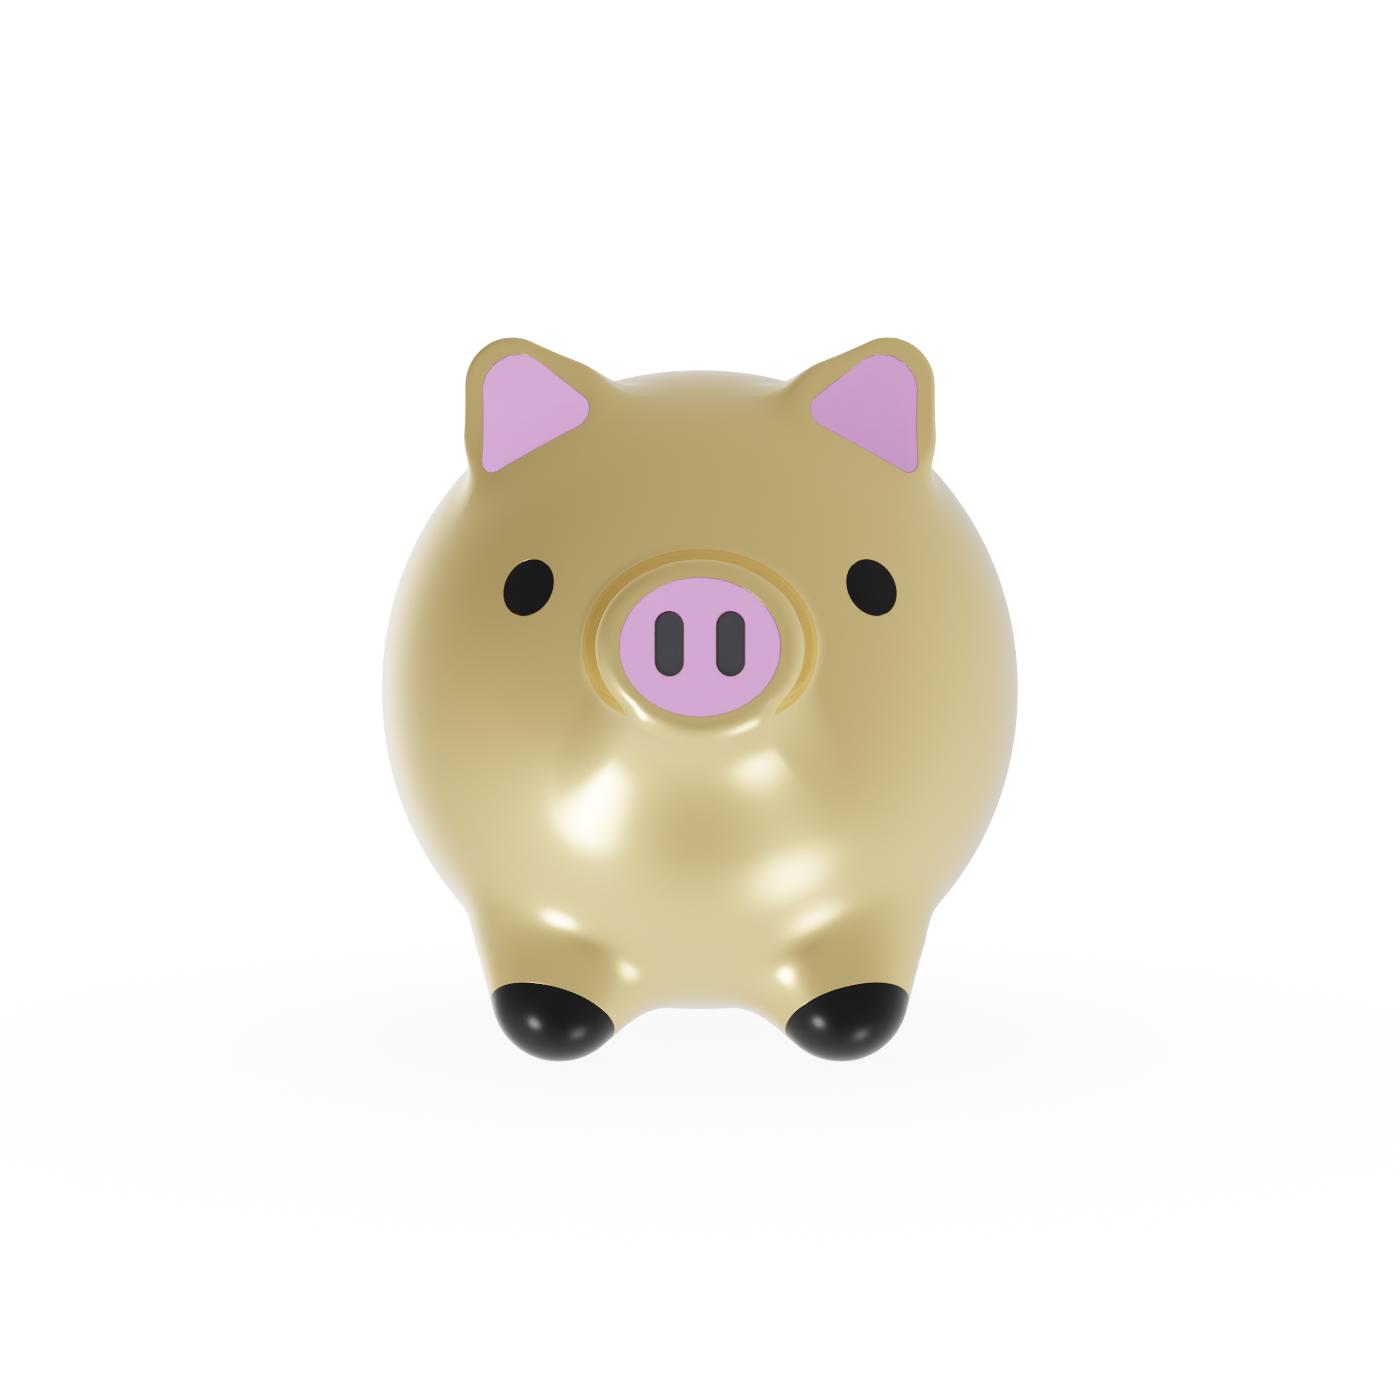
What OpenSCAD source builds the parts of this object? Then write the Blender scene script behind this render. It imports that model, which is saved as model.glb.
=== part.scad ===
// Round piggy bank. A hollow moulded body in a front and a rear half, with inlaid
// ear pads, eyes, snout disc and nostrils, four screwed-on hoof caps, a curled tail
// and a stopper that pulls out of a seat ring in the belly.
// The pig faces -Y and stands on z = 0. Left and right are the pig's own, so its
// left side is +X. Shapes are drawn about the body's centre and then lifted.

/* [Body] */
// Outer radius of the round body
body_r = 60; // [58:0.5:62]
// Thickness of the moulded walls
wall = 2.4; // [2:0.1:2.8]

/* [Snout] */
// Width of the snout
snout_w = 32; // [28:0.5:34]
// Height of the snout
snout_h = 27; // [24:0.5:29]
// Height of the snout's axis above the body's centre
snout_rise = 6.3; // [3:0.1:9]
// Distance from the body's centre to the snout's face
snout_reach = 68.5; // [67:0.5:71]
// Width of the flat disc let into the snout's face
disc_w = 25.2; // [23:0.1:26]
// Height of the disc
disc_h = 21.8; // [20:0.1:22.5]
// Width of a nostril
nostril_w = 4.8; // [4:0.1:5.5]
// Height of a nostril
nostril_h = 10.4; // [9:0.1:11]
// Distance between the nostrils' centres
nostril_pitch = 9; // [7.5:0.1:10.5]

/* [Eyes] */
// Radius of an eye
eye_r = 5; // [4:0.1:6]
// Angle of an eye to the side of the nose line
eye_turn = 29.2; // [27:0.1:34]
// Angle of an eye above the body's middle
eye_rise = 16; // [12:0.1:20]

/* [Ears] */
// Thickness of an ear, front to back
ear_thick = 9; // [8:0.5:10]
// Distance of the ears' front faces ahead of the body's centre
ear_front = 32; // [31:0.5:33]

/* [Legs] */
// Radius of a hoof's round end
hoof_r = 12; // [11.5:0.1:12.5]
// Distance of a hoof's centre to the side
hoof_x = 24.6; // [23.5:0.1:25.5]
// Distance of a hoof's centre ahead of or behind the body's centre
hoof_y = 29; // [28:0.5:30.5]
// Distance of a hoof's centre below the body's centre
hoof_drop = 53.2; // [52.5:0.1:54]
// Height of the small flat worn under each hoof
hoof_flat = 0.3; // [0.2:0.05:0.5]
// Lean of a leg away from the vertical
leg_lean = 38; // [36:1:40]
// Direction of that lean, from sideways to fore and aft
leg_turn = 68; // [64:1:72]
// Half angle of a leg's cone
leg_flare = 29; // [27:1:30]

/* [Coin slot] */
// Length of the coin slot
slot_len = 28; // [26:0.5:30]
// Width of the coin slot
slot_w = 5; // [4.6:0.1:5.4]
// Angle of the slot's middle behind the crown
slot_back = 24; // [22:0.5:27]

/* [Stopper] */
// Radius of the emptying hole in the seat ring
bore_r = 13.2; // [12.8:0.1:13.4]
// Distance of the stopper behind the body's centre
stopper_back = 4; // [3:0.5:5]
// Depth of the recess that the stopper sits in, from the body's lowest point
recess_depth = 5.5; // [5:0.1:6.5]
// Height of the stopper's plug
plug_h = 7; // [6:0.5:9]

/* [Tail] */
// Angle of the tail's root above the body's middle
tail_rise = 8; // [4:1:14]
// Radius of the tail's curl
curl_r = 4.6; // [4.2:0.1:5]
// Radius of the tail's thick end
tail_r = 2.2; // [1.9:0.1:2.4]

/* [Hidden] */
$fn = 96;

gold = "goldenrod";
pink = "plum";
black = "#1c1c1e";
dark_grey = "dimgray";

left = 1;
right = -1;
front = -1;
rear = 1;
past = 1;                      // how far a cutting shape runs past what it cuts
body_z = hoof_drop + hoof_r - hoof_flat;
inner_r = body_r - wall;

inlay = 1.2;                   // thickness of the eyes and ear pads
inlay_gap = 0.05;              // play around an inlay in its pocket
disc_t = 1.6;                  // thickness of the snout's disc
nostril_sink = 0.5;            // how far the nostrils lie below the disc
peg_r = 1.2;                   // pegs behind the inlays
peg_len = 2.4;
peg_hole_r = 1.25;

// Ear outlines in the X-Z plane about the body's centre: corners, then corner radii
ear_corners = [[41.2, 66.7], [40.2, 29], [5.8, 49.3]];
ear_radii = [8, 2, 2];
pad_corners = [[38.2, 64.4], [38.2, 36.4], [16, 48.6]];
pad_radii = [6, 1.8, 2.9];
pad_pegs = [[33.5, 53.5], [25, 49]];

hoof_cut = 4.5;                // from the hoof's centre to its joint with the leg
joint_r = sqrt(hoof_r * hoof_r - hoof_cut * hoof_cut);
leg_len = 18;
spigot_r = 7;                  // low round spigot that centres a hoof on its leg
spigot_h = 0.8;

screw_r = 1.4;
screw_clear_r = 1.6;
screw_head_r = 2.8;
screw_head_h = 1.6;
cross_w = 0.7;                 // slots of the screws' cross recess
cross_depth = 0.8;
hoof_screw_len = 6.4;
shell_screw_len = 9;
head_sink = 0.5;               // how far the belly screws' heads lie below the skin

tongue_angles = [40, 90, 140]; // places around the seam, from the crown downwards
screw_angle = 140;
screw_back = 6;                // angle of the belly screws behind the seam
tongue_w = 11;
tongue_reach = 11;
tongue_t = 2.2;
tongue_gap = 0.15;
boss_r = 3.6;

ring_hole_r = bore_r + 1.4;    // hole in the two halves that the ring fills
flange_r = bore_r + 2.6;
flange_t = 1.2;
ring_gap = 0.1;
recess_r = flange_r + 0.4;
recess_z = recess_depth - body_r;
ring_low = recess_z - ring_gap - flange_t;
ring_high = recess_z + wall + ring_gap;
plug_gap = 0.1;
knob_r = bore_r + 1.4;
knob_t = 1.2;

tail_turn = 430;               // degrees of curl from root to tip
tail_rings = 30;
tail_sides = 12;
tail_peg_r = tail_r - 0.3;
tail_tip_r = 1.3;
tail_len = snout_reach - body_r - tail_tip_r + 0.3;

module lifted() translate([0, 0, body_z]) children();

// Turns local +Z to point out of the body, turned to the side from -Y and raised
module outward(turn, rise) rotate([0, 0, turn]) rotate([90 - rise, 0, 0]) children();

// Turns local +Z to a place around the seam, and back past it
module at_seam(angle, back = 0) rotate([0, angle, 0]) rotate([-back, 0, 0]) children();

// Local frame of a hoof: centre of its round end, +Z down along the leg
module at_hoof(side, end)
    translate([side * hoof_x, end * hoof_y, -hoof_drop])
        rotate([0, 0, atan2(end * sin(leg_turn), side * cos(leg_turn))])
            rotate([0, 180 - leg_lean, 0]) children();

function unit(v) = v / norm(v);

// Points of one rounded corner, with its sides moved inwards by inset
function corner_arc(before, corner, after, r, inset, steps = 8) =
    let (u = unit(before - corner), v = unit(after - corner), mid = unit(u + v),
        half = acos(u * v) / 2, arc_r = max(r - inset, 0.3),
        centre = corner + mid * (inset + arc_r) / sin(half),
        facing = atan2(-mid[1], -mid[0]), spread = 90 - half,
        turn = u[0] * v[1] > u[1] * v[0] ? -1 : 1)
    [for (i = [0:steps])
        let (a = facing + turn * spread * (2 * i / steps - 1))
        centre + arc_r * [cos(a), sin(a)]];

function rounded(corners, radii, inset = 0) =
    let (n = len(corners))
    [for (i = [0:n - 1])
        each corner_arc(corners[(i + n - 1) % n], corners[i], corners[(i + 1) % n],
            radii[i], inset)];

// Upright slab from y = -deep - thick to y = -deep, of an outline drawn in X-Z
module slab(deep, thick) translate([0, -deep, 0]) rotate([90, 0, 0])
    linear_extrude(thick) children();

module ear_shape(side, corners, radii, inset, deep, thick)
    mirror([side == left ? 0 : 1, 0, 0]) slab(deep, thick)
        polygon(rounded(corners, radii, inset));

module ear(side, inset = 0)
    ear_shape(side, ear_corners, ear_radii, inset,
        ear_front - ear_thick + inset, ear_thick - 2 * inset);

module ear_pocket(side) {
    ear_shape(side, pad_corners, pad_radii, -inlay_gap, ear_front - inlay, inlay + 3 * past);
    pad_peg_row(side, peg_hole_r, peg_len + past);
}

module pad_peg_row(side, r, length)
    for (peg = pad_pegs)
        translate([side * peg[0], 0, peg[1]]) slab(ear_front - inlay - length, length) circle(r);

module oval(w, h) scale([w / h, 1]) circle(d = h);

module snout_slab(deep, thick) translate([0, 0, snout_rise]) slab(deep, thick) children();

module pill(side, grow = 0)
    translate([side * nostril_pitch / 2, 0])
        polygon(rounded([[-1, -1], [1, -1], [1, 1], [-1, 1]]
            * [[nostril_w / 2, 0], [0, nostril_h / 2]],
            [for (i = [0:3]) nostril_w / 2 - 0.01], -grow));

module leg(side, end, inset = 0)
    at_hoof(side, end) translate([0, 0, hoof_cut - inset]) mirror([0, 0, 1])
        cylinder(h = leg_len,
            r1 = joint_r + inset * (tan(leg_flare) - 1 / cos(leg_flare)),
            r2 = joint_r + inset * (tan(leg_flare) - 1 / cos(leg_flare))
                + leg_len * tan(leg_flare));

module leg_joint_holes(side, end) at_hoof(side, end) {
    translate([0, 0, hoof_cut - spigot_h]) cylinder(h = spigot_h + past, r = spigot_r);
    cylinder(h = hoof_cut + past, r = screw_clear_r);
}

// Half of a ball about the body's centre, ahead of or behind the seam
module half_ball(r, end) intersection() {
    sphere(r);
    translate([-body_r, end == front ? -body_r : 0, -body_r])
        cube([2 * body_r, body_r, 2 * body_r]);
}

// Tongues of the front half that reach behind the seam, inside the rear half
module tongues() for (side = [left, right], angle = tongue_angles) {
    intersection() {
        difference() {
            sphere(inner_r - tongue_gap);
            sphere(inner_r - tongue_gap - tongue_t);
        }
        at_seam(side * angle) translate([-tongue_w / 2, -tongue_reach, 0])
            cube([tongue_w, 2 * tongue_reach, body_r]);
    }
    intersection() {
        difference() {
            sphere(inner_r + wall / 2);
            sphere(inner_r - tongue_gap - tongue_t);
        }
        at_seam(side * angle) translate([-tongue_w / 2, -tongue_reach, 0])
            cube([tongue_w, tongue_reach - tongue_gap, body_r]);
    }
    if (angle == screw_angle)
        at_seam(side * angle, screw_back)
            translate([0, 0, body_r - head_sink - shell_screw_len - past])
                cylinder(h = shell_screw_len + past - wall - tongue_gap - tongue_t / 2,
                    r = boss_r);
}

module screw_pilots() for (side = [left, right])
    at_seam(side * screw_angle, screw_back)
        translate([0, 0, body_r - head_sink - shell_screw_len])
            cylinder(h = shell_screw_len, r = screw_r);

module front_shell() color(gold) lifted() difference() {
    union() {
        difference() {
            union() {
                half_ball(body_r, front);
                snout_slab(body_r / 2, snout_reach - body_r / 2) oval(snout_w, snout_h);
                for (side = [left, right]) {
                    ear(side);
                    leg(side, front);
                }
            }
            sphere(inner_r);
            snout_slab(body_r / 2, snout_reach - body_r / 2 - disc_t - wall)
                oval(snout_w - 2 * wall, snout_h - 2 * wall);
            for (side = [left, right]) {
                ear(side, wall);
                leg(side, front, wall);
            }
        }
        tongues();
        stopper_floor(front);
    }
    screw_pilots();
    snout_slab(snout_reach - disc_t, disc_t + past)
        oval(disc_w + 2 * inlay_gap, disc_h + 2 * inlay_gap);
    for (side = [left, right]) {
        translate([side * nostril_pitch / 2, 0, 0])
            snout_slab(body_r, snout_reach - body_r) circle(peg_hole_r);
        ear_pocket(side);
        eye_pocket(side);
        leg_joint_holes(side, front);
    }
    stopper_recess();
}

module rear_shell() color(gold) lifted() difference() {
    union() {
        difference() {
            union() {
                half_ball(body_r, rear);
                for (side = [left, right]) leg(side, rear);
            }
            sphere(inner_r);
            for (side = [left, right]) leg(side, rear, wall);
        }
        stopper_floor(rear);
    }
    for (side = [left, right]) {
        leg_joint_holes(side, rear);
        at_seam(side * screw_angle, screw_back) screw_seat();
    }
    coin_slot();
    stopper_recess();
    outward(180, tail_rise) cylinder(h = body_r + past, r = tail_peg_r + inlay_gap);
}

// Countersunk hole through the rear half for a belly screw
module screw_seat() {
    translate([0, 0, inner_r - past]) cylinder(h = wall + 2 * past, r = screw_clear_r);
    translate([0, 0, body_r - head_sink - screw_head_h])
        cylinder(h = screw_head_h, r1 = screw_r, r2 = screw_head_r);
    translate([0, 0, body_r - head_sink]) cylinder(h = head_sink + past, r = screw_head_r);
}

module coin_slot() rotate([-slot_back, 0, 0]) translate([0, 0, inner_r - wall - 2 * past])
    linear_extrude(2 * wall + 4 * past)
        polygon(rounded([[-slot_w, -slot_len], [slot_w, -slot_len],
            [slot_w, slot_len], [-slot_w, slot_len]] / 2, [for (i = [0:3]) slot_w / 2 - 0.01]));

// Thickened belly around the recess, in one half
module stopper_floor(end) intersection() {
    union() {
        half_ball(body_r - wall / 2, end);
        for (side = [left, right]) leg(side, end, wall / 2);
    }
    translate([0, stopper_back, -body_r])
        cylinder(h = recess_depth + wall, r = recess_r + wall);
}

// Round recess in the belly, with the hole for the seat ring through its floor
module stopper_recess() translate([0, stopper_back, -body_r]) {
    cylinder(h = recess_depth, r = recess_r);
    cylinder(h = body_r / 2, r = ring_hole_r);
}

module eye_pocket(side) outward(side * eye_turn, eye_rise) {
    intersection() {
        cylinder(h = body_r + past, r = eye_r + inlay_gap);
        difference() {
            sphere(body_r + past);
            sphere(body_r - inlay);
        }
    }
    cylinder(h = body_r, r = peg_hole_r);
}

module eye(side) color(black) lifted() outward(side * eye_turn, eye_rise) {
    intersection() {
        cylinder(h = body_r, r = eye_r);
        difference() {
            sphere(body_r);
            sphere(body_r - inlay);
        }
    }
    translate([0, 0, body_r - inlay - peg_len]) cylinder(h = peg_len, r = peg_r);
}

module ear_pad(side) color(pink) lifted() {
    ear_shape(side, pad_corners, pad_radii, 0, ear_front - inlay, inlay);
    pad_peg_row(side, peg_r, peg_len);
}

module snout_disc() color(pink) lifted() snout_slab(snout_reach - disc_t, disc_t)
    difference() {
        oval(disc_w, disc_h);
        for (side = [left, right]) pill(side, inlay_gap);
    }

module nostril(side) color(dark_grey) lifted() {
    snout_slab(snout_reach - disc_t, disc_t - nostril_sink) pill(side);
    translate([side * nostril_pitch / 2, 0, 0])
        snout_slab(snout_reach - disc_t - peg_len, peg_len) circle(peg_r);
}

// Round cap with a spigot for the leg and a blind hole for its screw
module hoof(side, end) color(black) lifted() intersection() {
    at_hoof(side, end) difference() {
        union() {
            intersection() {
                sphere(hoof_r);
                translate([-hoof_r, -hoof_r, hoof_cut]) cube(2 * hoof_r);
            }
            translate([0, 0, hoof_cut - spigot_h + inlay_gap])
                cylinder(h = spigot_h, r = spigot_r - inlay_gap);
        }
        cylinder(h = hoof_cut + hoof_screw_len - wall, r = screw_r);
    }
    translate([-body_r, -body_r, -body_z]) cube([2 * body_r, 2 * body_r, body_z]);
}

module cross_recess() for (turn = [0, 90])
    rotate([0, 0, turn]) translate([-cross_w / 2, -screw_head_r * 0.6, -past])
        cube([cross_w, screw_head_r * 1.2, cross_depth + past]);

// Screws inside the legs, head up, that draw the hoof caps against the legs
module hoof_screws() color("silver") lifted()
    for (side = [left, right], end = [front, rear])
        at_hoof(side, end) translate([0, 0, hoof_cut - wall]) {
            cylinder(h = hoof_screw_len, r = screw_r);
            translate([0, 0, -screw_head_h]) difference() {
                cylinder(h = screw_head_h, r = screw_head_r);
                cross_recess();
            }
        }

// Countersunk screws in the belly, through the rear half into the front half's tongues
module shell_screws() color("silver") lifted() for (side = [left, right])
    at_seam(side * screw_angle, screw_back)
        translate([0, 0, body_r - head_sink]) mirror([0, 0, 1]) {
            cylinder(h = shell_screw_len, r = screw_r);
            difference() {
                cylinder(h = screw_head_h, r1 = screw_head_r, r2 = screw_r);
                cross_recess();
            }
        }

// Seat ring with two flanges that hold the edges of both halves
module stopper_ring() color(black) lifted() translate([0, stopper_back, 0])
    rotate_extrude() difference() {
        translate([bore_r, ring_low])
            square([flange_r - bore_r, ring_high + flange_t - ring_low]);
        translate([ring_hole_r - ring_gap, ring_low + flange_t])
            square([flange_r, ring_high - ring_low - flange_t]);
        translate([flange_r, ring_low]) rotate(45) square(flange_t / 2, center = true);
    }

// Soft plug with a finger grip across a round dish
module stopper() color("gray") lifted() translate([0, stopper_back, 0]) difference() {
    union() {
        translate([0, 0, ring_low]) cylinder(h = plug_h, r1 = bore_r - plug_gap,
            r2 = bore_r - 3 * plug_gap);
        translate([0, 0, ring_low - knob_t]) cylinder(h = knob_t, r = knob_r);
    }
    difference() {
        translate([0, 0, ring_low - knob_t - past])
            cylinder(h = plug_h / 2 + knob_t + past, r = bore_r - 3);
        translate([-bore_r, -wall / 2, ring_low - knob_t]) cube([2 * bore_r, wall, plug_h]);
    }
}

function curl(t) =
    let (a = tail_turn * pow(t, 1.3))
    [curl_r * sin(a), curl_r * (1 - cos(a)), body_r + tail_len * pow(t, 0.6)];

function tail_width(t) =
    (tail_r + (tail_tip_r - tail_r) * t) * (t < 0.93 ? 1 : sqrt(1.02 - pow((t - 0.93) / 0.07, 2)));

function tail_ring(t) =
    let (p = curl(t), along = unit(curl(t + 0.002) - curl(t)),
        inward = [0, curl_r, 0] - [p[0], p[1], 0], side = unit(cross(along, inward)),
        up = cross(side, along))
    [for (i = [0:tail_sides - 1])
        let (a = 360 * i / tail_sides)
        p + tail_width(t) * (cos(a) * side - sin(a) * up)];

module tail() color(gold) lifted() outward(180, tail_rise) {
    points = [for (i = [0:tail_rings]) each tail_ring(pow(i / tail_rings, 1.2))];
    last = tail_rings * tail_sides;
    polyhedron(points, concat(
        [[for (j = [0:tail_sides - 1]) j]],
        [for (i = [0:tail_rings - 1], j = [0:tail_sides - 1])
            let (a = i * tail_sides + j, b = i * tail_sides + (j + 1) % tail_sides)
            [a, a + tail_sides, b + tail_sides, b]],
        [[for (j = [tail_sides - 1:-1:0]) last + j]]));
    translate([0, 0, inner_r - wall]) cylinder(h = 2 * wall + past / 2, r = tail_peg_r);
}

front_shell();
rear_shell();
ear_pad(left);  // ear_pad_left
ear_pad(right);  // ear_pad_right
snout_disc();
nostril(left);  // nostril_left
nostril(right);  // nostril_right
eye(left);  // eye_left
eye(right);  // eye_right
hoof(left, front);  // hoof_front_left
hoof(right, front);  // hoof_front_right
hoof(left, rear);  // hoof_rear_left
hoof(right, rear);  // hoof_rear_right
tail();
shell_screws();
hoof_screws();
stopper_ring();
stopper();
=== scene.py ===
import math

import bmesh
import bpy
import numpy as np
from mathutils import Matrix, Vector


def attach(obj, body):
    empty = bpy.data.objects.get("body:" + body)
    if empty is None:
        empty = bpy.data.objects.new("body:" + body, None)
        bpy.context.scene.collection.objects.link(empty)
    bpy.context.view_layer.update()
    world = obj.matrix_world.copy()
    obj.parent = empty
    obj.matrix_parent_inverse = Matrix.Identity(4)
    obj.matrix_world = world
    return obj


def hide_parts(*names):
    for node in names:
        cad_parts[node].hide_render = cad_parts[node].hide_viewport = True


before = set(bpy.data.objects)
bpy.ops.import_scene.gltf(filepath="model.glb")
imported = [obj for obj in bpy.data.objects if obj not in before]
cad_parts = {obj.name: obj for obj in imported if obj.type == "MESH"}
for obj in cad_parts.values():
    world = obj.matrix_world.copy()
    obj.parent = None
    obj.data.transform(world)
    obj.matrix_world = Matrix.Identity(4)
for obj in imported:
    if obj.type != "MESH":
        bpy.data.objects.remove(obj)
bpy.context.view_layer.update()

# Everything is drawn in millimetres about the body's centre, with -Y ahead and +Z up,
# and is lifted and turned into metres when a piece is made.
MM = 0.001
LIFT = 64.9

# ---------------------------------------------------------------- measures
BODY_HALF = (59.7, 60.0, 60.0)
BODY_POWER = 2.04
WALL = 2.4

HOOF = (24.6, 29.0, -53.2)
HOOF_R = 12.0
HOOF_CUT = 4.5
LEG_ALONG = (0.291, 0.728, -1.0)
LEG_ROOT_R = 18.9
LEG_BACK = 13.9
LEG_BLEND = 5.8

SNOUT_HALF = (15.8, 13.3)
SNOUT_RISE = 6.3
SNOUT_REACH = 68.5
SNOUT_BACK = 40.0
SNOUT_DRAFT = 0.17
SNOUT_EDGE = 2.5
SNOUT_FILLET = 1.1
CHIN_FILLET = 14.0
CHIN_FROM = math.radians(76)
CHIN_TO = math.radians(36)

EAR_CENTRE = (29.0, -27.3, 53.0)
EAR_YAW = math.radians(10)
EAR_HALF = 4.2
EAR_EDGE = 1.6
EAR_BLEND_BACK = 5.5
EAR_BLEND_FRONT = 10.0
EAR_BLEND_FROM = -21.0
EAR_BLEND_OVER = 11.0
EAR_CORNERS = ((41.2, 66.7), (41.0, 32.3), (4.4, 49.1))
EAR_RADIUS = 8.4

PAD_CORNERS = ((38.0, 65.4), (36.9, 35.9), (14.6, 47.3))
PAD_RADII = (6.3, 2.3, 3.4)
DISC_HALF = (12.6, 10.9)
NOSTRIL_HALF = (2.4, 5.2)
NOSTRIL_OUT = 4.75
NOSTRIL_RISE = 6.8
EYE_R = 5.0
EYE_TURN = math.radians(29.2)
EYE_RISE = math.radians(16)

SLOT_HALF = (2.5, 14.0)
SLOT_BACK = math.radians(24)
RECESS_R = 16.2
RECESS_Z = -54.5
RECESS_Y = 4.0
RING_HOLE_R = 14.6
SCREW_ANGLE = math.radians(140)
SCREW_BACK = math.radians(6)
SCREW_HOLE_R = 3.0

SEAM = 0.07
INLAY_DEPTH = 1.25
DISC_DEPTH = 1.65
SCREW_DEPTH = WALL - 0.2
NOSTRIL_SINK = 0.5


# ---------------------------------------------------------------- distance field
def soft_min(a, b, k):
    """Union with a smooth hollow between the two, k / 4 deep."""
    reach = 1.5 * k
    h = np.maximum(reach - np.abs(a - b), 0) / reach
    return np.minimum(a, b) - h * h * h * reach / 6


def fillet_min(a, b, k):
    """Union with a shorter, rounder hollow of the same depth."""
    h = np.maximum(k - np.abs(a - b), 0) / k
    return np.minimum(a, b) - h * h * k * 0.25


def unit(v):
    return np.asarray(v, float) / np.linalg.norm(v)


def body_field(x, y, z):
    total = 0
    for value, half in zip((x, y, z), BODY_HALF):
        total = total + np.power(np.abs(value) / half, BODY_POWER)
    return BODY_HALF[2] * (np.power(total, 1 / BODY_POWER) - 1)


def leg_field(x, y, z):
    """Round cone from the hoof's round end up into the body."""
    along = unit(LEG_ALONG)
    qx, qy, qz = x - HOOF[0], y - HOOF[1], z - HOOF[2]
    up = -(qx * along[0] + qy * along[1] + qz * along[2])
    off2 = np.maximum(qx * qx + qy * qy + qz * qz - up * up, 0)
    off = np.sqrt(off2)
    sine = (LEG_ROOT_R - HOOF_R) / LEG_BACK
    cosine = math.sqrt(1 - sine * sine)
    place = up * cosine + off * sine
    tip = np.sqrt(off2 + up * up) - HOOF_R
    root = np.sqrt(off2 + (up - LEG_BACK) ** 2) - LEG_ROOT_R
    side = off * cosine - up * sine - HOOF_R
    return np.where(place < 0, tip, np.where(place > LEG_BACK * cosine, root, side))


def outline_field(u, v, corners):
    """Signed distance to a polygon, negative inside."""
    u, v = np.broadcast_arrays(u, v)
    best = np.full(u.shape, 1e9, u.dtype)
    inside = np.zeros(u.shape, bool)
    for (au, av), (bu, bv) in zip(corners, corners[1:] + corners[:1]):
        eu, ev = bu - au, bv - av
        wu, wv = u - au, v - av
        t = np.clip((wu * eu + wv * ev) / (eu * eu + ev * ev), 0, 1)
        best = np.minimum(best, (wu - eu * t) ** 2 + (wv - ev * t) ** 2)
        crosses = (v >= av) != (v >= bv)
        inside ^= crosses & ((eu * wv > ev * wu) == (ev > 0))
    return np.where(inside, -1, 1) * np.sqrt(best)


def inset(corners, r):
    moved = []
    for i, corner in enumerate(corners):
        corner = np.array(corner)
        u = unit(np.array(corners[i - 1]) - corner)
        v = unit(np.array(corners[(i + 1) % len(corners)]) - corner)
        moved.append(tuple(corner + unit(u + v) * r / math.sqrt((1 - u @ v) / 2)))
    return moved


def ear_place(x, y, z):
    """Across, up and forward in the ear's own turned frame, for the ear on the +X side."""
    dx, dy = x - EAR_CENTRE[0], y - EAR_CENTRE[1]
    across = dx * math.cos(EAR_YAW) + dy * math.sin(EAR_YAW) + EAR_CENTRE[0]
    ahead = dx * math.sin(EAR_YAW) - dy * math.cos(EAR_YAW)
    return across, z, ahead


def rounded_slab(side, depth, edge):
    """What lies inside both, with a rounded edge between them."""
    a, b = side + edge, depth + edge
    outside = np.sqrt(np.maximum(a, 0) ** 2 + np.maximum(b, 0) ** 2)
    return np.minimum(np.maximum(a, b), 0) + outside - edge


def ear_field(x, y, z):
    across, up, ahead = ear_place(x, y, z)
    side = outline_field(across, up, inset(EAR_CORNERS, EAR_RADIUS)) - EAR_RADIUS
    return rounded_slab(side, np.abs(ahead) - EAR_HALF, EAR_EDGE)


def oval_field(u, v, half):
    q = np.sqrt((u / half[0]) ** 2 + (v / half[1]) ** 2) + 1e-9
    slope = np.sqrt((u / half[0] ** 2) ** 2 + (v / half[1] ** 2) ** 2) + 1e-9
    return (q - 1) * q / slope


def snout_field(x, y, up):
    """Side of the snout's slightly tapered tube, open towards the front."""
    grow = 1 + SNOUT_DRAFT * np.maximum(y + SNOUT_REACH, 0) / 10
    return np.maximum(oval_field(x / grow, up / grow, SNOUT_HALF), y + SNOUT_BACK)


def field(x, y, z):
    """Distance to the outer skin of the body, legs, ears and snout in one blended form."""
    left, behind = np.abs(x), np.abs(y)
    f = body_field(x, y, z)
    legs = soft_min(leg_field(x, behind, z), leg_field(-x, behind, z), LEG_BLEND)
    f = soft_min(f, legs, LEG_BLEND)
    ahead = np.clip((EAR_BLEND_FROM - y) / EAR_BLEND_OVER, 0, 1)
    ear_blend = EAR_BLEND_BACK + (EAR_BLEND_FRONT - EAR_BLEND_BACK) * ahead
    f = soft_min(f, ear_field(left, y, z), ear_blend)
    up = z - SNOUT_RISE
    turn = np.arctan2(left, -up)
    share = np.clip((CHIN_FROM - turn) / (CHIN_FROM - CHIN_TO), 0, 1)
    share = share * share * (3 - 2 * share)
    fillet = SNOUT_FILLET + (CHIN_FILLET - SNOUT_FILLET) * share
    f = fillet_min(f, snout_field(x, y, up), fillet)
    f = rounded_slab(f, -SNOUT_REACH - y, SNOUT_EDGE)
    return np.maximum(f, -LIFT - z)


def cavity_field(x, y, z):
    """Distance to the plain inner skin: a ball with a flat over the stopper's seat."""
    ball = np.sqrt(x * x + y * y + z * z) - (BODY_HALF[0] - WALL)
    return np.maximum(ball, RECESS_Z + WALL - z)


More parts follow.
